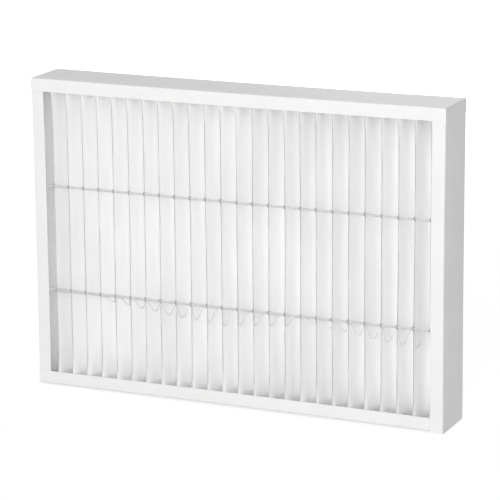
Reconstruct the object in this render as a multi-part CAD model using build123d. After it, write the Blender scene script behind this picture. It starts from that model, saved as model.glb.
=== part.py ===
from build123d import *
from math import asin, atan2, cos, hypot, radians, sin
import os

# Pleated panel air filter: one long sheet of filter medium, folded into deep upright pleats and glued
# into a frame of four folded board channels. Glue threads run across the fold tips and keep the pleats
# apart. Lengths are millimetres. X runs across the panel, Y through its depth with the inlet face
# towards -Y, and Z up. The origin is the middle of the footprint, on the surface it stands on.

# Overall size
WIDTH = 345.0
HEIGHT = 250.0
DEPTH = 45.0

# Frame board
BOARD = 0.6
FLANGE = 10.3
BEND = 1.2                 # outer radius of every fold in the board
TAB = 14.0                 # glue tab folded in at the end of a channel's back
TAB_WIDTH = DEPTH - 2 * (BEND + BOARD)
SEAM = 0.1                 # gap where two flanges meet edge to edge
OVERHANG_LEFT = 0.2        # the top rail runs this far past the left post
OVERHANG_RIGHT = 0.2       # and this far past the right post
FOOT = 1.4                 # the right post runs this far below the bottom rail
CLIP = (1.6, 1.2)          # clipped lower corner of the bottom rail, across and up

# Pleats
PITCH = 13.2
PLEATS = 26                # fold tips on the inlet face
FIRST_TIP = 3.85           # from the left end of the top rail to the first fold tip
MEDIUM = 0.5               # thickness of the sheet
FOLD = 0.42                # radius of the sheet's middle line round a fold
PACK_DEPTH = 41.0          # from the inlet fold tips to the outlet ones
END_GAP = 1.15             # from each post to the middle of the end panel's outlet edge

# Glue
THREAD = 1.4               # diameter of a separator thread
THREAD_FLAT = 0.25         # how much of it is pressed flat against the fold tips
THREAD_TAIL = 2.0          # thread past the first and last fold tips
UPPER_THREAD = 164.4       # heights of the two threads on each face
LOWER_THREAD = 79.8
SEALANT = 2.0              # layer in the back of each rail, which the sheet's cut ends stand on
POST_SEALANT = (-2.0, 16.0)  # stretch in Y of the glue behind each end panel

# Loose strand under the lower inlet thread: one loop in each gap, in two runs
STRAND = 0.55
STRAND_RUNS = (
    # first gap, gaps, gaps with a growing drop, first drop, growth of the drop, then its shrinkage
    (3, 13, 9, 4.4, 1.25, 1.5),
    (16, 8, 8, 4.8, 1.45, 0.0),
)
STRAND_SHIFT = 0.14        # each low point lies this part of a gap further left than the last

# Places worked out from the sizes above
LEFT_POST = -WIDTH / 2 + OVERHANG_LEFT         # outer faces of the posts
RIGHT_POST = WIDTH / 2 - OVERHANG_RIGHT
FLOOR_OF_PACK = FOOT + BOARD                   # inner faces of the rails' backs
ROOF_OF_PACK = HEIGHT - BOARD
PACK_BOTTOM = FLOOR_OF_PACK + SEALANT          # cut ends of the sheet
PACK_TOP = ROOF_OF_PACK - SEALANT


def tip_x(index):
    """Where an inlet fold tip stands. Tip 0 is hidden behind the left post's flange."""
    return -WIDTH / 2 + FIRST_TIP + PITCH * index


# ---------------------------------------------------------------- frame

def trough(length, width, height, bend):
    """A block along X that stands on the XY plane, with its two long lower edges rounded."""
    block = Pos(0, 0, height / 2) * Box(length, width, height)
    lower_edges = block.edges().filter_by(Axis.X).group_by(Axis.Z)[0]
    return fillet(lower_edges, bend)


def channel(length, width, flange):
    """A folded U of board: its back lies on the XY plane and its flanges stand up along X."""
    outside = trough(length, width, flange, BEND)
    inside = trough(length, width - 2 * BOARD, flange, BEND - BOARD)
    return outside - Pos(0, 0, BOARD) * inside


def glue_tab():
    """The last stretch of a channel's back, folded up square. The fold's outer face is at x = 0."""
    both = Pos(TAB, 0, 0) * Rot(0, 0, 90) * channel(TAB_WIDTH, 2 * TAB, TAB)
    return both & Pos(TAB / 2, 0, TAB / 2) * Box(TAB, TAB_WIDTH, TAB)


def back_strip(start, end):
    """The flat back of a channel from one place along X to another, as wide as a glue tab."""
    return Pos((start + end) / 2, 0, BOARD / 2) * Box(end - start, TAB_WIDTH, BOARD)


def flanged_stretch(start, end):
    """A channel with both flanges, from one place along X to another."""
    return Pos((start + end) / 2, 0, 0) * channel(end - start, DEPTH, FLANGE)


def frame_top_rail():
    """The top rail runs over the ends of both posts and is cut square."""
    rail = channel(WIDTH, DEPTH, FLANGE)
    return Pos(0, 0, HEIGHT) * Rot(180, 0, 0) * rail


def clipped_corner():
    """The wedge cut off the bottom rail's left end, where its flanges meet its back."""
    across, up = CLIP
    wedge = make_face(Polyline((0, 0), (across, 0), (0, up), close=True))
    return extrude(Plane.XZ * wedge, amount=DEPTH, both=True)


def frame_bottom_rail():
    """The bottom rail runs under the left post and ends inside the right one, against its back."""
    end = RIGHT_POST - BOARD
    flange_end = RIGHT_POST - FLANGE - SEAM
    rail = flanged_stretch(LEFT_POST, flange_end)
    rail += back_strip(flange_end - FLANGE, end - TAB)
    rail += Pos(end, 0, 0) * Rot(0, 0, 180) * glue_tab()
    rail -= Pos(LEFT_POST, 0, 0) * clipped_corner()
    return Pos(0, 0, FOOT) * rail


def post_across(bottom, flange_bottom, has_bottom_tab):
    """A post lying along X, its foot at the left, with a glue tab under the top rail."""
    post = flanged_stretch(flange_bottom, HEIGHT - FLANGE - SEAM)
    post += back_strip(HEIGHT - 2 * FLANGE, ROOF_OF_PACK - TAB)
    post += Pos(ROOF_OF_PACK, 0, 0) * Rot(0, 0, 180) * glue_tab()
    if has_bottom_tab:
        post += back_strip(bottom + TAB, flange_bottom + FLANGE)
        post += Pos(bottom, 0, 0) * glue_tab()
    return post


def frame_left_post():
    """The left post stands between the two rails, with a glue tab on each."""
    post = post_across(FLOOR_OF_PACK, FOOT + FLANGE + SEAM, True)
    return Pos(LEFT_POST, 0, 0) * Rot(0, -90, 0) * Rot(180, 0, 0) * post


def frame_right_post():
    """The right post runs outside the bottom rail, down to the floor."""
    post = post_across(0, 0, False)
    return Pos(RIGHT_POST, 0, 0) * Rot(0, -90, 0) * post


# ---------------------------------------------------------------- pleats

def fold_centres():
    """The centres of the folds' arcs, from left to right, first an inlet fold, then an outlet one."""
    reach = PACK_DEPTH / 2 - MEDIUM / 2 - FOLD
    centres = []
    for index in range(PLEATS):
        centres.append((tip_x(index), -reach))
        if index < PLEATS - 1:
            centres.append((tip_x(index) + PITCH / 2, reach))
    return centres


def tangent_points(start, end, start_radius, end_radius, turn):
    """The line that touches two circles on opposite sides. turn is +1 where it crosses rightwards."""
    run_x, run_y = end[0] - start[0], end[1] - start[1]
    length = hypot(run_x, run_y)
    lean = asin((start_radius + end_radius) / length)
    normal = atan2(run_y, run_x) + turn * (radians(90) - lean)
    across = (cos(normal), sin(normal))
    first = (start[0] + start_radius * across[0], start[1] + start_radius * across[1])
    last = (end[0] - end_radius * across[0], end[1] - end_radius * across[1])
    return first, last


def end_point(post_x, side, offset):
    """A corner of the sheet's cut edge on the outlet side, beside a post."""
    return (post_x + side * END_GAP + offset, PACK_DEPTH / 2)


def end_tangent(centre, point, radius, side):
    """Where the end panel, drawn from its cut edge, touches the circle of the fold next to it."""
    run_x, run_y = centre[0] - point[0], centre[1] - point[1]
    lean = asin(radius / hypot(run_x, run_y))
    normal = atan2(run_y, run_x) + side * (radians(90) + lean)
    return (centre[0] + radius * cos(normal), centre[1] + radius * sin(normal))


def sheet_side(offset):
    """One face of the folded sheet from left to right. offset is +1 for the inlet face, -1 for the outlet."""
    centres = fold_centres()
    shift = offset * MEDIUM / 2
    radii = [FOLD + shift if index % 2 == 0 else FOLD - shift for index in range(len(centres))]
    left_start = end_point(LEFT_POST + BOARD, 1, -shift)
    right_end = end_point(RIGHT_POST - BOARD, -1, shift)
    entries = [end_tangent(centres[0], left_start, radii[0], -1)]
    exits = []
    for index in range(len(centres) - 1):
        turn = 1 if index % 2 else -1
        first, last = tangent_points(
            centres[index], centres[index + 1], radii[index], radii[index + 1], turn
        )
        exits.append(first)
        entries.append(last)
    exits.append(end_tangent(centres[-1], right_end, radii[-1], 1))
    edges = [Line(left_start, entries[0])]
    for index, centre in enumerate(centres):
        nose = -1 if index % 2 == 0 else 1
        top = (centre[0], centre[1] + nose * radii[index])
        edges.append(ThreePointArc(entries[index], top, exits[index]))
        if index < len(centres) - 1:
            edges.append(Line(exits[index], entries[index + 1]))
    edges.append(Line(exits[-1], right_end))
    return edges, left_start, right_end


def pleated_media():
    """The whole sheet, folded, with its cut ends on the sealant below and above."""
    inlet, inlet_start, inlet_end = sheet_side(1)
    outlet, outlet_start, outlet_end = sheet_side(-1)
    caps = [Line(inlet_start, outlet_start), Line(inlet_end, outlet_end)]
    section = make_face(Curve() + inlet + outlet + caps)
    return Pos(0, 0, PACK_BOTTOM) * extrude(section, amount=PACK_TOP - PACK_BOTTOM)


# ---------------------------------------------------------------- glue

def separator_thread(face, height):
    """A straight glue thread, pressed flat on the fold tips of a face: -1 is the inlet, +1 the outlet."""
    start = tip_x(0) - THREAD_TAIL
    end = tip_x(PLEATS - 1) + THREAD_TAIL
    length = end - start
    bar = Rot(0, 90, 0) * Cylinder(THREAD / 2, length)
    pressed_away = Pos(0, -face * THREAD, 0) * Box(length, THREAD + 2 * THREAD_FLAT, THREAD)
    middle_y = face * (PACK_DEPTH / 2 + THREAD / 2 - THREAD_FLAT)
    return Pos((start + end) / 2, middle_y, height) * (bar - pressed_away)


def strand_points():
    """The strand's corners, in X and Z, from left to right: two runs of loops below the lower thread."""
    level = LOWER_THREAD - THREAD / 2 - STRAND / 2
    points = [(tip_x(3), level)]
    for first_gap, gaps, growing, first_drop, growth, shrinkage in STRAND_RUNS:
        for step in range(gaps):
            shrinking = max(0, step - growing + 1)
            drop = first_drop + growth * (step - shrinking) - shrinkage * shrinking
            low = max(0.06, min(0.94, 1.0 - STRAND_SHIFT * (step - 0.5)))
            start, end = max(0.06, low - 0.5), min(0.94, low + 0.5)
            left = tip_x(first_gap + step + 1)
            for place, part in ((start, 0), ((start + low) / 2, 0.75), (low, 1), ((low + end) / 2, 0.75)):
                points.append((left + PITCH * place, level - drop * part))
            points.append((left + PITCH * end, level))
    return points


def loose_strand():
    """A finer strand that came off the glue nozzle and hangs in loops from the lower inlet thread."""
    depth = -PACK_DEPTH / 2 - STRAND / 2
    corners = [(x, depth, z) for x, z in strand_points()]
    path = Polyline(*corners)
    section = Plane(path @ 0, z_dir=path % 0) * Rectangle(STRAND, STRAND)
    return sweep(section, path, transition=Transition.RIGHT)


def rail_sealant(bottom, frame_pieces):
    """The glue layer in a rail, from fold to fold of the glue tabs, cut round the tabs."""
    start, end = LEFT_POST + BEND, RIGHT_POST - BEND
    layer = Pos((start + end) / 2, 0, bottom + SEALANT / 2) * Box(end - start, TAB_WIDTH, SEALANT)
    for piece in frame_pieces:
        layer -= piece
    return layer


def post_sealant(post_x, side, around):
    """The glue between a post and the end panel beside it, from the lower glue layer to the upper."""
    near, far = POST_SEALANT
    edge = end_point(post_x, side, 0)
    fold = fold_centres()[0 if side > 0 else -1]
    touch = end_tangent(fold, edge, FOLD, -side)
    slope = (touch[0] - edge[0]) / (touch[1] - edge[1])
    outline = Polyline(
        (post_x, near),
        (edge[0] + slope * (near - edge[1]), near),
        (edge[0] + slope * (far - edge[1]), far),
        (post_x, far),
        close=True,
    )
    layer = Pos(0, 0, PACK_BOTTOM) * extrude(make_face(outline), amount=PACK_TOP - PACK_BOTTOM)
    for piece in around:
        layer -= piece
    return layer


def build():
    """Every piece of the filter by name, each in its own place."""
    pieces = {
        "frame_top_rail": frame_top_rail(),
        "frame_bottom_rail": frame_bottom_rail(),
        "frame_left_post": frame_left_post(),
        "frame_right_post": frame_right_post(),
        "pleated_media": pleated_media(),
        "loose_strand": loose_strand(),
    }
    for name, face in (("inlet", -1), ("outlet", 1)):
        pieces[name + "_upper_thread"] = separator_thread(face, UPPER_THREAD)
        pieces[name + "_lower_thread"] = separator_thread(face, LOWER_THREAD)
    channels = [pieces["frame_left_post"], pieces["frame_right_post"], pieces["frame_bottom_rail"]]
    pieces["bottom_sealant"] = rail_sealant(FLOOR_OF_PACK, channels)
    pieces["top_sealant"] = rail_sealant(PACK_TOP, channels)
    beside = channels + [pieces["pleated_media"]]
    pieces["left_sealant"] = post_sealant(LEFT_POST + BOARD, 1, beside)
    pieces["right_sealant"] = post_sealant(RIGHT_POST - BOARD, -1, beside)
    return pieces


os.makedirs("parts", exist_ok=True)
for name, piece in build().items():
    piece.label = name
    export_step(piece, os.path.join("parts", name + ".step"))
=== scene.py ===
from math import asin, atan2, cos, pi, radians, sin

import bmesh
import bpy
from mathutils import Matrix, Vector, noise

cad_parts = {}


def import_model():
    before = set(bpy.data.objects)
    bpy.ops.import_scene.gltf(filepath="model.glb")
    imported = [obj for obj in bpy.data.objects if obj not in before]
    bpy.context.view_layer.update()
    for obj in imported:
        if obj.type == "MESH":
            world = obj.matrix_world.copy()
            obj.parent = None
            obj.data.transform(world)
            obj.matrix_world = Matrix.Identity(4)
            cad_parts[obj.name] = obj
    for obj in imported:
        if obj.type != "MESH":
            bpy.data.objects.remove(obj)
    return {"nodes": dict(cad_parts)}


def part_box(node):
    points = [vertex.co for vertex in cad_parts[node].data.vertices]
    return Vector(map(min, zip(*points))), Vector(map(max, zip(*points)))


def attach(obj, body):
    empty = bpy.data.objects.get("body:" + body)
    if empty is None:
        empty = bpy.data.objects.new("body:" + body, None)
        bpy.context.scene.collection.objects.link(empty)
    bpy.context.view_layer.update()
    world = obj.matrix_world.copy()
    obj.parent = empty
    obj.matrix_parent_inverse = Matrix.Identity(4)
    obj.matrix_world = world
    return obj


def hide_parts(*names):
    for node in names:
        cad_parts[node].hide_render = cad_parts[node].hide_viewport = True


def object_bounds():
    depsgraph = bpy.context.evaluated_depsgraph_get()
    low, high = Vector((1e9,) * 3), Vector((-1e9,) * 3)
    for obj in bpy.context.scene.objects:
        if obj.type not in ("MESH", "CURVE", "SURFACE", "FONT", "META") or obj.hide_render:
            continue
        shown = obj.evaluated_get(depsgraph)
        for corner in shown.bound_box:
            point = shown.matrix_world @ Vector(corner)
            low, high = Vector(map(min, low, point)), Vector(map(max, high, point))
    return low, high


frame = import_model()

# A pleated panel air filter, dressed over its CAD frame. Lengths here are metres, and MM turns
# millimetres into them. X runs across the panel, the inlet face looks towards -Y, and Z is up.
MM = 0.001
SAME_SPOT = 0.001 * MM    # points closer than this are one
cad_low, cad_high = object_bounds()

# Frame board
BOARD = 0.6 * MM
FLANGE = 10.3 * MM
FOOT = 1.4 * MM           # the right post runs this far below the bottom rail
TAB_GAP = 1.2 * MM        # a glue tab's solid ends this far short of its neighbour's flanges
TAB_CLEAR = 0.05 * MM     # and its drawn form ends this far short of them
TAB_START = 0.2 * MM      # from those flanges' free edges to where the drawn form gets wider
CUT_EDGE = 1.5 * MM       # from a channel's outer faces to the first cut that lets the board bend
CUT_STEP = 12 * MM
CORNER = 32 * MM          # the corners hold the board true, and it is free this far from them
BOW = 0.45 * MM           # how far the middle of a channel is drawn in by the pack
WAVE = 0.16 * MM          # how far the flanges' free edges wave
WAVES = 28                # how often they wave in a metre
SHARP = radians(30)       # a steeper edge than this stays crisp

# Pleats
PITCH = 13.2 * MM
PLEATS = 26
FIRST_TIP = 3.85 * MM     # from the panel's left side to the first fold tip
END_GAP = 1.15 * MM       # from a post's inner face to the sheet's end
MEDIUM = 0.5 * MM         # the sheet's thickness
FOLD = 0.42 * MM          # a fold's radius at the sheet's middle line
FOLD_STEPS = 6
FOLD_SHADES = (0.0, 1.0, 1.0, 1.0, 0.7, 0.2, 0.0)    # painted shade at each point of a fold: how far it turns dark grey there
PANEL_CUTS = 5
LEVELS = 30
WANDER = 0.42 * MM        # how far the sheet strays sideways
HELD = 9 * MM             # it strays less than that this near to a post
POTTED = 24 * MM          # the cut ends sit in glue, which shapes the sheet this far in
LEAN = 0.25               # how far the cut ends lean to the left, as a share of WANDER
BLUNT = 1.5               # how much wider a fold is at its cut end than where it is pressed
SOFT_FOLD_SHADE = 1.7         # how soon a fold's line of painted shade ends across the fold, at its cut ends

# Glue threads
THREAD_RADIUS = 0.95 * MM    # half a thread's height
THREAD_DEPTH = 0.55          # its depth as a share of its height
THREAD_SIDES = 12
THREAD_UNEVEN = 0.22         # how much its thickness varies
THREAD_STRAY = 0.15 * MM
KNOT_RADIUS = 1.9 * MM
KNOT_REACH = 1.3 * MM        # from a knot's middle to its ends
KNOT_SIZE = 0.86             # a knot's usual swell, and how much it varies
KNOT_UNEVEN = 0.28
KNOT = ((-1, 0), (-0.6, 0.35), (-0.25, 0.9), (0, 1), (0.25, 0.9), (0.6, 0.4), (1, 0))    # where, how thick
SMEAR = (0.12, 0.3, 0.5, 0.7, 0.88)    # a gap's places between two knots
SMEAR_UNEVEN = 1.2
KNOT_GREY = 1.5              # how grey a knot turns as it swells, and a smear
SMEAR_GREY = 0.4

# Loose strand
STRAND_RADIUS = 0.27 * MM
STRAND_UNEVEN = 0.5
STRAND_STRAY = 0.5 * MM
STRAND_STOUTNESS = (0.7, 0.5, 1.25, 0.85, 0.5)    # at a loop's start, left leg, low point, right leg, end
THICK_START = 0.9            # how much stouter the strand starts, and the point at which that is over
THICK_POINTS = 42
STRAND_START = 3             # the fold tip that the strand leaves the thread at
STRAND_RUNS = (
    # first gap, gaps, gaps with a growing drop, first drop, its growth, then its shrinkage (millimetres)
    (3, 13, 9, 4.4, 1.25, 1.5),
    (16, 8, 8, 4.8, 1.45, 0.0),
)
STRAND_SHIFT = 0.14          # how much of a gap the low points drift left from one loop to the next
TIP_SHARE = 0.06             # a loop keeps this share of the gap clear of each fold tip
HALF_LOOP = 0.5              # and it is no wider than this to each side of its low point
LEG_DROP = 0.75              # the share of its drop that a loop has half way to its low point

media_low, media_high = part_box("pleated_media")
left_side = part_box("frame_left_post")[0].x
right_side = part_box("frame_right_post")[1].x
left_wall = left_side + BOARD
right_wall = right_side - BOARD


# ---------------------------------------------------------------- shader maths

class Value:
    """A number that varies over a surface: one output socket of a material's nodes."""

    def __init__(self, nodes, socket):
        self.nodes = nodes
        self.socket = socket

    def math(self, operation, *others):
        return self.nodes.add("ShaderNodeMath", {"operation": operation}, [self, *others])

    def __add__(self, other):
        return self.math("ADD", other)

    __radd__ = __add__

    def __sub__(self, other):
        return self.math("SUBTRACT", other)

    def __rsub__(self, other):
        return self.nodes.add("ShaderNodeMath", {"operation": "SUBTRACT"}, [other, self])

    def __mul__(self, other):
        return self.math("MULTIPLY", other)

    __rmul__ = __mul__

    def between(self, low, high):
        """0 below low, 1 above high, and a smooth step from one to the other."""
        settings = {"interpolation_type": "SMOOTHSTEP"}
        inputs = {"Value": self, "From Min": low, "From Max": high}
        return self.nodes.add("ShaderNodeMapRange", settings, inputs)


class Nodes:
    """The node tree of one material."""

    def __init__(self, material):
        self.tree = material.node_tree
        self.tree.nodes.clear()

    def make(self, kind, settings=None, inputs=None):
        """A node of a type, its settings first and then the values or links of its sockets."""
        node = self.tree.nodes.new(kind)
        for name, value in (settings or {}).items():
            setattr(node, name, value)
        pairs = inputs.items() if isinstance(inputs, dict) else enumerate(inputs or [])
        for key, value in pairs:
            if isinstance(value, Value):
                self.tree.links.new(value.socket, node.inputs[key])
            else:
                node.inputs[key].default_value = value
        return node

    def add(self, kind, settings=None, inputs=None, output=0):
        return Value(self, self.make(kind, settings, inputs).outputs[output])

    def place(self, scale=(1, 1, 1)):
        """The piece's own coordinates in metres, stretched by a scale."""
        spot = self.add("ShaderNodeTexCoord", output="Object")
        return self.add("ShaderNodeMapping", None, {"Vector": spot, "Scale": scale})

    def attribute(self, name):
        """A number stored on the mesh's points."""
        return self.add("ShaderNodeAttribute", {"attribute_name": name}, output=2)

    def noise(self, size, detail=2.0, roughness=0.5, stretch=(1, 1, 1)):
        """Cloudy noise whose blotches are about size metres across, from 0 to 1."""
        inputs = {"Vector": self.place(stretch), "Scale": 1 / size, "Detail": detail, "Roughness": roughness}
        return self.add("ShaderNodeTexNoise", None, inputs)

    def blend(self, factor, first, second):
        """A colour between two others. A Mix node takes colours at its inputs 6 and 7."""
        inputs = {0: factor, 6: first, 7: second}
        return self.add("ShaderNodeMix", {"data_type": "RGBA"}, inputs, output=2)

    def bump(self, height, distance, strength=1.0):
        inputs = {"Height": height, "Distance": distance, "Strength": strength}
        return self.add("ShaderNodeBump", None, inputs)

    def finish(self, shader):
        self.make("ShaderNodeOutputMaterial", None, {"Surface": shader})


def grey(level, warmth=0.0):
    """A near-neutral colour. warmth lifts red and lowers blue."""
    return (level * (1 + warmth), level, level * (1 - warmth), 1.0)


def new_material(name):
    material = bpy.data.materials.new(name)
    material.use_nodes = True
    return material, Nodes(material)


def board_material():
    """Smooth coated white board: faint mottling, a soft sheen and a trace of paper grain."""
    material, nodes = new_material("coated_board")
    cloud = nodes.noise(38 * MM, detail=3)
    fibre = nodes.noise(0.9 * MM, detail=3, stretch=(1, 1, 2.5))
    tone = cloud.between(0.3, 0.7) * 0.7 + fibre * 0.3
    colour = nodes.blend(tone, grey(0.855, 0.002), grey(0.885, 0.001))
    sheen = nodes.noise(9 * MM) * 0.12 + 0.58
    relief = nodes.bump(fibre, 0.02 * MM, 0.5)
    shader = nodes.add("ShaderNodeBsdfPrincipled", None, {
        "Base Color": colour, "Roughness": sheen, "Normal": relief, "Specular IOR Level": 0.3,
    })
    nodes.finish(shader)
    return material


def medium_material():
    """White nonwoven: cloudy fibre density, fine fibres, matte, and light passes through it; a painted shade
    greys each fold and lets less light through there.
    """
    material, nodes = new_material("nonwoven_medium")
    cloud = nodes.noise(7 * MM, detail=4, roughness=0.6)
    fibres = nodes.noise(0.7 * MM, detail=4, roughness=0.7, stretch=(1, 1, 0.35))
    tone = cloud.between(0.32, 0.68) * 0.6 + fibres * 0.4
    fluff = nodes.blend(tone, grey(0.863), grey(0.899))
    # Painted shade along the folds: the colour turns dark grey at each fold, more in some patches, and less
    # light passes there.
    uneven_shade = nodes.noise(30 * MM, detail=3, stretch=(3, 0.1, 1)).between(0.25, 0.6)
    fold_shade = nodes.attribute("fold_shade") * (0.7 + uneven_shade * 0.3)
    colour = nodes.blend(fold_shade, fluff, grey(0.44))
    relief = nodes.bump(fibres * 0.6 + cloud * 0.4, 0.12 * MM, 0.5)
    front = nodes.add("ShaderNodeBsdfPrincipled", None, {
        "Base Color": colour, "Roughness": 0.85, "Normal": relief, "Specular IOR Level": 0.15,
    })
    through = nodes.add("ShaderNodeBsdfTranslucent", None, {"Color": grey(0.975)})
    streaks = nodes.noise(2.6 * MM, detail=2, stretch=(1, 1, 0.06)).between(0.3, 0.7)
    patches = nodes.noise(24 * MM, detail=1, stretch=(1, 0.2, 0.3)).between(0.3, 0.7)
    passes = (0.77 - cloud * 0.1 - streaks * 0.14 - patches * 0.08) * (1 - fold_shade * 0.6)
    shader = nodes.add("ShaderNodeMixShader", None, [passes, front, through])
    nodes.finish(shader)
    return material


def glue_material(name, low, high, knot):
    """Set glue: smooth, a little glossy, cloudy, and of another grey in its knots."""
    material, nodes = new_material(name)
    cloud = nodes.noise(2.2 * MM, detail=3)
    run = nodes.blend(cloud.between(0.3, 0.7), grey(low), grey(high))
    colour = nodes.blend(nodes.attribute("greyness"), run, grey(knot))
    relief = nodes.bump(nodes.noise(1.1 * MM), 0.1 * MM, 0.5)
    shader = nodes.add("ShaderNodeBsdfPrincipled", None, {
        "Base Color": colour, "Roughness": cloud * 0.2 + 0.28, "Normal": relief, "Specular IOR Level": 0.35,
    })
    nodes.finish(shader)
    return material


BOARD_WHITE = board_material()
MEDIUM_WHITE = medium_material()
THREAD_GLUE = glue_material("thread_glue", 0.60, 0.70, 0.40)
STRAND_GLUE = glue_material("strand_glue", 0.56, 0.68, 0.45)
SEALANT_GLUE = glue_material("sealant_glue", 0.88, 0.94, 0.91)


def dress(node, material):
    """Gives a CAD node's own mesh a finish."""
    for slot in frame["nodes"][node].material_slots:
        slot.material = material


def add_piece(name, mesh, material, slot, *replaced):
    """A finished piece that rides on the frame and stands for CAD nodes."""
    piece = bpy.data.objects.new(name, mesh)
    bpy.context.scene.collection.objects.link(piece)
    piece.data.materials.append(material)
    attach(piece, "root")
    if replaced:
        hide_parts(*replaced)
    return piece


def mesh_from(bm, name, smooth=True):
    """The bmesh as a mesh, with its faces pointing outwards."""
    bmesh.ops.remove_doubles(bm, verts=bm.verts, dist=SAME_SPOT)
    bmesh.ops.recalc_face_normals(bm, faces=bm.faces)
    for face in bm.faces:
        face.smooth = smooth
    mesh = bpy.data.meshes.new(name)
    bm.to_mesh(mesh)
    bm.free()
    return mesh


def eased(part):
    """0 below 0, 1 above 1, and a smooth step between."""
    part = min(1.0, max(0.0, part))
    return part * part * (3 - 2 * part)


def ripple(*place):
    """Smooth noise from about -1 to 1, the same each time at one place."""
    return noise.noise(Vector(place))


def extruded(bm, edges):
    """The points and the edges that an extrusion of edges makes."""
    made = bmesh.ops.extrude_edge_only(bm, edges=edges)["geom"]
    verts = [item for item in made if isinstance(item, bmesh.types.BMVert)]
    return verts, [item for item in made if isinstance(item, bmesh.types.BMEdge)]


def cut_across(bm, axis, place):
    """Cuts every face at a place along an axis, and takes nothing away."""
    normal = Vector((axis == 0, axis == 1, axis == 2))
    geometry = [*bm.verts, *bm.edges, *bm.faces]
    bmesh.ops.bisect_plane(bm, geom=geometry, plane_co=normal * place, plane_no=normal)


# ---------------------------------------------------------------- frame

def board_stray(spot, upright, swell):
    """How far folded board strays from its drawn place, on a post if upright or else on a rail."""
    half = (cad_high - cad_low) / 2
    offset = spot - (cad_low + cad_high) / 2
    along, out = (offset.z / half.z, offset.x) if upright else (offset.x / half.x, offset.z)
    half_along, half_out = (half.z, half.x) if upright else (half.x, half.z)
    free = eased((half_along * (1 - abs(along)) - FLANGE) / CORNER)
    back = min(1.0, max(0.0, 1 - (half_out - abs(out)) / FLANGE))
    belly = swell * (1 - (offset.y / half.y) ** 2) * back
    outwards = free * (belly - BOW * (1 - along * along)) * (1 if out > 0 else -1)
    wave = free * (1 - back) * WAVE * ripple(*(spot * WAVES))
    return Vector((outwards, wave, 0)) if upright else Vector((0, wave, outwards))


def widen_tab(bm, axis, place, side):
    """Draws the glue tab past a place as wide as its neighbour's flanges leave room for."""
    cut_across(bm, axis, place)
    middle = (cad_low.y + cad_high.y) / 2
    room = (cad_high.y - cad_low.y) / 2 - BOARD - TAB_CLEAR
    for vert in bm.verts:
        across = vert.co.y - middle
        if side * (vert.co[axis] - place) > -TAB_CLEAR and abs(across) > room - TAB_GAP:
            vert.co.y = middle + (room if across > 0 else -room)


def board_channel(name, node, swell, tabs=()):
    """A channel of the frame with the slight waves of folded board. Its back bellies out by swell."""
    bm = bmesh.new()
    bm.from_mesh(frame["nodes"][node].data)
    bmesh.ops.remove_doubles(bm, verts=bm.verts, dist=SAME_SPOT)
    for tab in tabs:
        widen_tab(bm, *tab)
    low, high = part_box(node)
    for axis in range(3):
        first, last = low[axis] + CUT_EDGE, high[axis] - CUT_EDGE
        cuts = max(1, round((last - first) / CUT_STEP))
        for cut in range(cuts + 1):
            cut_across(bm, axis, first + (last - first) * cut / cuts)
    for vert in bm.verts:
        vert.co += board_stray(vert.co, "post" in node, swell)
    mesh = bpy.data.meshes.new(name)
    for face in bm.faces:
        face.smooth = True
    for edge in bm.edges:
        edge.smooth = edge.calc_face_angle(0.0) < SHARP
    bm.to_mesh(mesh)
    bm.free()
    return add_piece(name, mesh, BOARD_WHITE, "board", node)


# ---------------------------------------------------------------- pleats

def tip_x(index):
    return cad_low.x + FIRST_TIP + PITCH * index


def fold_centres():
    """Centres of the folds from left to right, an inlet fold first, then an outlet one."""
    reach = media_high.y - MEDIUM / 2 - FOLD
    centres = []
    for index in range(PLEATS):
        centres.append(Vector((tip_x(index), -reach, 0)))
        if index < PLEATS - 1:
            centres.append(Vector((tip_x(index) + PITCH / 2, reach, 0)))
    return centres


def potted(spot):
    """1 at the sheet's cut ends, which sit in glue, and 0 where it is free of them."""
    return eased(1 - min(spot.z - media_low.z, media_high.z - spot.z) / POTTED)


def wander(spot):
    """How far the sheet strays sideways from its drawn place.

    It has slow waves and quick ones, and the glue holds its cut ends askew.
    """
    slow = ripple(spot.x * 34, spot.y * 9, spot.z * 7 + 3)
    quick = ripple(spot.x * 92 + 5, spot.y * 22, spot.z * 26)
    cut_end = 1 if spot.z > (media_low.z + media_high.z) / 2 else 9
    pinched = ripple(spot.x * 60, spot.y * 9, cut_end) - LEAN
    stray = slow * 1.6 + quick * 0.25 + pinched * potted(spot)
    free = min(1.0, (spot.x - left_wall) / HELD, (right_wall - spot.x) / HELD)
    return Vector((WANDER * max(free, 0.0) * stray, 0, 0))


def blunted(spot):
    """How far a point of a fold moves aside, because the fold is wider at its cut ends."""
    first = tip_x(0) if spot.y < 0 else tip_x(0) + PITCH / 2
    middle = first + PITCH * round((spot.x - first) / PITCH)
    aside = spot.x - middle
    in_fold = abs(spot.y) > media_high.y - MEDIUM / 2 - 2 * FOLD and abs(aside) < 2 * FOLD
    return Vector((aside * BLUNT * potted(spot), 0, 0)) if in_fold else Vector()


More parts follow.
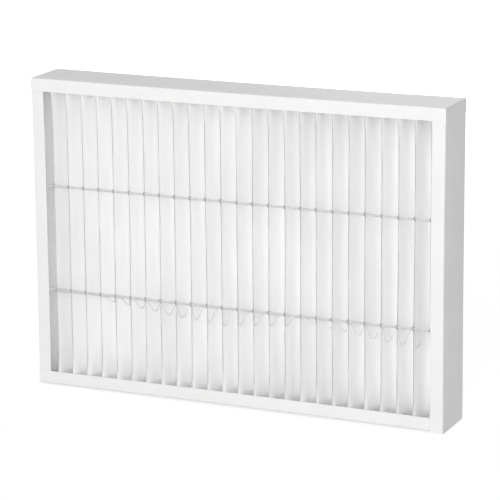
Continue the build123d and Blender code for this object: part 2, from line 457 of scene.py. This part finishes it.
def walk_sheet(bm):
    """Draws the sheet's middle line: straight runs, and a spin about each fold's centre.

    Two numbers stay on its points: how much painted shade the fold has there, and how far across the fold it
    is.
    """
    fold_shade = bm.verts.layers.float.new("fold_shade")
    across = bm.verts.layers.float.new("across")
    centres = fold_centres()
    start = Vector((left_wall + END_GAP, media_high.y, 0))
    end = Vector((right_wall - END_GAP, media_high.y, 0))
    spots = [start, *centres, end]
    point = bmesh.ops.create_vert(bm, co=start)["vert"][0]
    for index, centre in enumerate(centres):
        turn = 1 if index % 2 == 0 else -1
        before, after = spots[index], spots[index + 2]
        reach_in = FOLD if index == 0 else 2 * FOLD
        reach_out = FOLD if index == len(centres) - 1 else 2 * FOLD
        run_in, run_out = centre - before, after - centre
        heading_in = atan2(run_in.y, run_in.x) - turn * asin(reach_in / run_in.length)
        heading_out = atan2(run_out.y, run_out.x) + turn * asin(reach_out / run_out.length)
        arrive = centre + Vector((sin(heading_in), -cos(heading_in), 0)) * FOLD * turn
        step = bmesh.ops.extrude_vert_indiv(bm, verts=[point])["verts"][0]
        step.co = arrive
        fold_start = len(bm.verts) - 1
        bmesh.ops.spin(
            bm, geom=[step], cent=centre, axis=(0, 0, 1), angle=(heading_out - heading_in),
            steps=FOLD_STEPS, use_merge=False, use_normal_flip=False, use_duplicate=False,
        )
        bm.verts.ensure_lookup_table()
        point = bm.verts[-1]
        for place, vert in enumerate(bm.verts[fold_start:]):
            # each point of a fold gets its painted shade
            vert[fold_shade] = FOLD_SHADES[place]
            vert[across] = place / FOLD_STEPS
    last = bmesh.ops.extrude_vert_indiv(bm, verts=[point])["verts"][0]
    last.co = end


def pleated_medium():
    """The folded sheet: its middle line drawn up level by level, strayed, and given its thickness."""
    bm = bmesh.new()
    walk_sheet(bm)
    height = media_high.z - media_low.z
    runs = [edge for edge in bm.edges if edge.calc_length() > PITCH / 2]
    bmesh.ops.subdivide_edges(bm, edges=runs, cuts=PANEL_CUTS)
    bmesh.ops.translate(bm, verts=bm.verts, vec=(0, 0, media_low.z))
    rise = Vector((0, 0, height / LEVELS))
    row = list(bm.edges)
    for _ in range(LEVELS):
        verts, row = extruded(bm, row)
        bmesh.ops.translate(bm, verts=verts, vec=rise)
    bmesh.ops.recalc_face_normals(bm, faces=bm.faces)
    fold_shade = bm.verts.layers.float["fold_shade"]
    across = bm.verts.layers.float["across"]
    for vert in bm.verts:
        # the folds' painted shade fades towards the sheet's cut ends
        vert[fold_shade] *= 1 - potted(vert.co) * min(1.0, SOFT_FOLD_SHADE * vert[across])
        vert.co += wander(vert.co) + blunted(vert.co)
    mesh = mesh_from(bm, "pleated_medium")
    piece = add_piece("pleated_medium", mesh, MEDIUM_WHITE, "filter_medium", "pleated_media")
    wall = piece.modifiers.new("wall", "SOLIDIFY")
    wall.thickness = MEDIUM
    wall.offset = 0.0
    return piece


# ---------------------------------------------------------------- glue

def thread_stations(inlet, low, high, smears):
    """A thread's places from left to right: x, swell, share of the sag, and share of a knot's grey."""
    height = (low.z + high.z) / 2
    tips = PLEATS if inlet else PLEATS - 1
    first = tip_x(0) if inlet else tip_x(0) + PITCH / 2
    gap = PITCH - 2 * KNOT_REACH
    stations = [(low.x, 0.5, 0.0, 0.0)]
    for index in range(tips):
        here = first + PITCH * index
        here += wander(Vector((here, media_low.y if inlet else media_high.y, height))).x
        size = KNOT_SIZE + KNOT_UNEVEN * ripple(index * 1.7, height * 90, 4)
        for along, thick in KNOT:
            swell = thick * size
            stations.append((here + along * KNOT_REACH, swell, 0.0, min(1.0, KNOT_GREY * swell)))
        if index < tips - 1:
            smear = smears[index] if index < len(smears) else 0.0
            for part in SMEAR:
                swell = smear * (1 + SMEAR_UNEVEN * ripple(index * 5 + part * 6, height * 40, 2))
                x = here + KNOT_REACH + part * gap
                stations.append((x, swell, 4 * part * (1 - part), SMEAR_GREY * swell))
    stations.append((high.x, 0.0, 0.0, 0.0))
    return stations


def glue_thread(name, node, sag, stoutness, smears=()):
    """A thread pressed on the fold tips, with a knot on each. smears thicken its first gaps."""
    low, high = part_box(node)
    inlet = low.y < 0
    depth = THREAD_RADIUS * THREAD_DEPTH
    middle_y = low.y + depth if inlet else high.y - depth
    height = (low.z + high.z) / 2
    bm = bmesh.new()
    greyness = bm.verts.layers.float.new("greyness")
    turned = Matrix.Translation((low.x, middle_y, height)) @ Matrix.Rotation(pi / 2, 4, "Y")
    bmesh.ops.create_circle(bm, cap_ends=True, segments=THREAD_SIDES, radius=THREAD_RADIUS, matrix=turned)
    rim = list(bm.edges)
    for x, swell, drop, grey_share in thread_stations(inlet, low, high, smears)[1:]:
        verts, rim = extruded(bm, rim)
        centre = sum((vert.co for vert in verts), Vector()) / len(verts)
        uneven = ripple(x * 180, height * 50, 1)
        radius = THREAD_RADIUS * stoutness * (1 + THREAD_UNEVEN * uneven)
        radius += (KNOT_RADIUS - THREAD_RADIUS) * swell
        target = Vector((x, middle_y, height - sag * drop + THREAD_STRAY * uneven))
        for vert in verts:
            spoke = vert.co - centre
            turn = atan2(spoke.y / THREAD_DEPTH, spoke.z)
            vert.co = target + Vector((0, sin(turn) * radius * THREAD_DEPTH, cos(turn) * radius))
            vert[greyness] = grey_share
    bmesh.ops.contextual_create(bm, geom=rim)
    mesh = mesh_from(bm, name)
    return add_piece(name, mesh, THREAD_GLUE, "glue_thread", node)


def strand_points():
    """Two runs of loops below the lower thread, one loop in each gap, their low points drifting left."""
    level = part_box("loose_strand")[1].z - STRAND_RADIUS
    points = [(tip_x(STRAND_START), level)]
    for first_gap, gaps, growing, first_drop, growth, shrinkage in STRAND_RUNS:
        for step in range(gaps):
            shrinking = max(0, step - growing + 1)
            drop = (first_drop + growth * (step - shrinking) - shrinkage * shrinking) * MM
            lowest = max(TIP_SHARE, min(1 - TIP_SHARE, 1.0 - STRAND_SHIFT * (step - 0.5)))
            start = max(TIP_SHARE, lowest - HALF_LOOP)
            end = min(1 - TIP_SHARE, lowest + HALF_LOOP)
            legs = (start + lowest) / 2, (lowest + end) / 2
            left = tip_x(first_gap + step + 1)
            loop = (start, 0), (legs[0], LEG_DROP), (lowest, 1), (legs[1], LEG_DROP), (end, 0)
            points += [(left + PITCH * where, level - drop * part) for where, part in loop]
    return points


def loose_strand():
    """A fine strand of glue along those points, stoutest at the low point of each loop."""
    low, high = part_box("loose_strand")
    curve = bpy.data.curves.new("loose_glue_strand", "CURVE")
    curve.dimensions = "3D"
    curve.bevel_depth = STRAND_RADIUS
    curve.bevel_resolution = 2
    curve.use_fill_caps = True
    curve.resolution_u = 5
    line = curve.splines.new("NURBS")
    points = strand_points()
    line.points.add(len(points) - 1)
    for index, (x, z) in enumerate(points):
        stray = ripple(index * 0.9, 2, 7) * STRAND_STRAY
        line.points[index].co = (x + stray, (low.y + high.y) / 2, z, 1)
        stout = STRAND_STOUTNESS[(index - 1) % len(STRAND_STOUTNESS)]
        stout *= 1 + THICK_START * (1 - eased(index / THICK_POINTS))
        line.points[index].radius = stout * (1 + STRAND_UNEVEN * ripple(index * 0.7, 5, 1))
    line.order_u = 3
    line.use_endpoint_u = True
    return add_piece("loose_glue_strand", curve, STRAND_GLUE, "glue_thread", "loose_strand")


# ---------------------------------------------------------------- studio

# Where the camera stands
AZIMUTH = radians(24.26)
ELEVATION = radians(14.0)
ROLL = radians(-0.52)
DISTANCE = 2.006
AIM_RIGHT, AIM_UP = 4.0 * MM, -2.9 * MM
SENSOR = 36                # the sensor's width and the focal length, in millimetres
FOCAL = 5.172 * SENSOR


def camera():
    """The camera, turned to the middle of the filter and then moved aside and rolled a little."""
    back = Vector((sin(AZIMUTH) * cos(ELEVATION), -cos(AZIMUTH) * cos(ELEVATION), sin(ELEVATION)))
    level = Vector((cos(AZIMUTH), sin(AZIMUTH), 0))
    up = back.cross(level)
    right_turned = cos(ROLL) * level + sin(ROLL) * up
    up_turned = cos(ROLL) * up - sin(ROLL) * level
    middle = (cad_low + cad_high) / 2
    spot = middle + AIM_RIGHT * right_turned + AIM_UP * up_turned + DISTANCE * back
    eye = bpy.data.cameras.new("camera")
    eye.lens = FOCAL
    eye.sensor_width = SENSOR
    eye.clip_start, eye.clip_end = 0.05, 50
    holder = bpy.data.objects.new("camera", eye)
    bpy.context.scene.collection.objects.link(holder)
    turned = Matrix((right_turned, up_turned, back)).transposed().to_4x4()
    holder.matrix_world = Matrix.Translation(spot) @ turned
    bpy.context.scene.camera = holder


def seen_directly(nodes):
    """1 for a ray that the camera, a reflection or a clear surface sends, 0 for light."""
    path = nodes.make("ShaderNodeLightPath")
    camera_ray = Value(nodes, path.outputs["Is Camera Ray"])
    glossy_ray = Value(nodes, path.outputs["Is Glossy Ray"])
    clear_ray = Value(nodes, path.outputs["Is Transmission Ray"])
    return camera_ray.math("MAXIMUM", glossy_ray).math("MAXIMUM", clear_ray)


def world(strength):
    """Even light from all round, behind which a white backdrop is seen."""
    surroundings = bpy.data.worlds.new("studio")
    surroundings.use_nodes = True
    bpy.context.scene.world = surroundings
    nodes = Nodes(surroundings)
    light = nodes.add("ShaderNodeBackground", None, {"Color": grey(1.0), "Strength": strength})
    backdrop = nodes.add("ShaderNodeBackground", None, {"Color": grey(1.0), "Strength": 1.0})
    shader = nodes.add("ShaderNodeMixShader", None, [seen_directly(nodes), light, backdrop])
    nodes.make("ShaderNodeOutputWorld", None, {"Surface": shader})


def floor():
    """A plain pale floor that looks white and keeps the filter's shadow."""
    bm = bmesh.new()
    bmesh.ops.create_grid(bm, x_segments=1, y_segments=1, size=3.0)
    mesh = mesh_from(bm, "floor", smooth=False)
    plane = bpy.data.objects.new("floor", mesh)
    bpy.context.scene.collection.objects.link(plane)
    material, nodes = new_material("pale_floor")
    bounce = nodes.add("ShaderNodeBsdfDiffuse", None, {"Color": grey(0.7)})
    paint = nodes.add("ShaderNodeBsdfDiffuse", None, {"Color": grey(0.4)})
    away = nodes.add("ShaderNodeVectorMath", {"operation": "LENGTH"}, [nodes.place()], output=1)
    whiteness = away.between(0.5, 1.6) * 0.2 + 0.705
    glow = nodes.add("ShaderNodeEmission", None, {"Color": grey(1.0), "Strength": whiteness})
    shown = nodes.add("ShaderNodeAddShader", None, [paint, glow])
    nodes.finish(nodes.add("ShaderNodeMixShader", None, [seen_directly(nodes), bounce, shown]))
    mesh.materials.append(material)


def soft_lamp(name, spot, aim, size, power, lights=()):
    """A broad lamp turned towards aim. Flags keep it off everything but lights, if that is given."""
    lamp = bpy.data.lights.new(name, "AREA")
    lamp.shape = "RECTANGLE"
    lamp.size, lamp.size_y = size
    lamp.energy = power
    holder = bpy.data.objects.new(name, lamp)
    bpy.context.scene.collection.objects.link(holder)
    holder.location = spot
    holder.rotation_mode = "QUATERNION"
    holder.rotation_quaternion = (Vector(aim) - Vector(spot)).to_track_quat("-Z", "Y")
    if lights:
        reached = bpy.data.collections.new(name)
        for piece in lights:
            reached.objects.link(piece)
        holder.light_linking.receiver_collection = reached
        holder.light_linking.blocker_collection = reached


# ---------------------------------------------------------------- the filter

# A tab's axis, the place where it starts, and the side that it lies on
under_top_rail = (2, cad_high.z - FLANGE + TAB_START, 1)
over_bottom_rail = (2, cad_low.z + FOOT + FLANGE - TAB_START, -1)
in_right_post = (0, right_side - FLANGE + TAB_START, 1)
board_channel("board_top_rail", "frame_top_rail", 0.1 * MM)
board_channel("board_bottom_rail", "frame_bottom_rail", 0.15 * MM, [in_right_post])
board_channel("board_left_post", "frame_left_post", 0.35 * MM, [under_top_rail, over_bottom_rail])
board_channel("board_right_post", "frame_right_post", 0.65 * MM, [under_top_rail])
for layer in ("top_sealant", "bottom_sealant", "left_sealant", "right_sealant"):
    dress(layer, SEALANT_GLUE)
medium = pleated_medium()
glue_thread("inlet_upper_glue_thread", "inlet_upper_thread", 0.15 * MM, 0.95, (0.25,))
glue_thread("inlet_lower_glue_thread", "inlet_lower_thread", 0.2 * MM, 1.12, (0.6, 0.5, 0.2, 0.15))
glue_thread("outlet_upper_glue_thread", "outlet_upper_thread", 0.15 * MM, 1.0)
glue_thread("outlet_lower_glue_thread", "outlet_lower_thread", 0.15 * MM, 1.05)
loose_strand()

camera()
world(0.52)
floor()
soft_lamp("key_lamp", spot=(0.52, -1.75, 0.85), aim=(0, 0, 0.1), size=(1.1, 0.8), power=14.6)
soft_lamp("low_lamp", spot=(0.2, -1.6, 0.18), aim=(0, 0, 0.08), size=(1.2, 0.28), power=4.2)
soft_lamp("back_lamp", spot=(-0.24, 1.6, 0.3), aim=(0, 0, 0.12), size=(0.75, 0.36), power=12.5)
# This one shines through the pleats from behind, and would bleach the back of the frame
soft_lamp(
    "pleat_lamp", spot=(-0.24, 1.6, 0.24), aim=(0, 0, 0.12), size=(0.75, 0.36), power=23, lights=[medium],
)

studio = bpy.context.scene
studio.view_settings.view_transform = "Standard"
studio.cycles.max_bounces = 24
studio.cycles.diffuse_bounces = 16
studio.cycles.transmission_bounces = 24
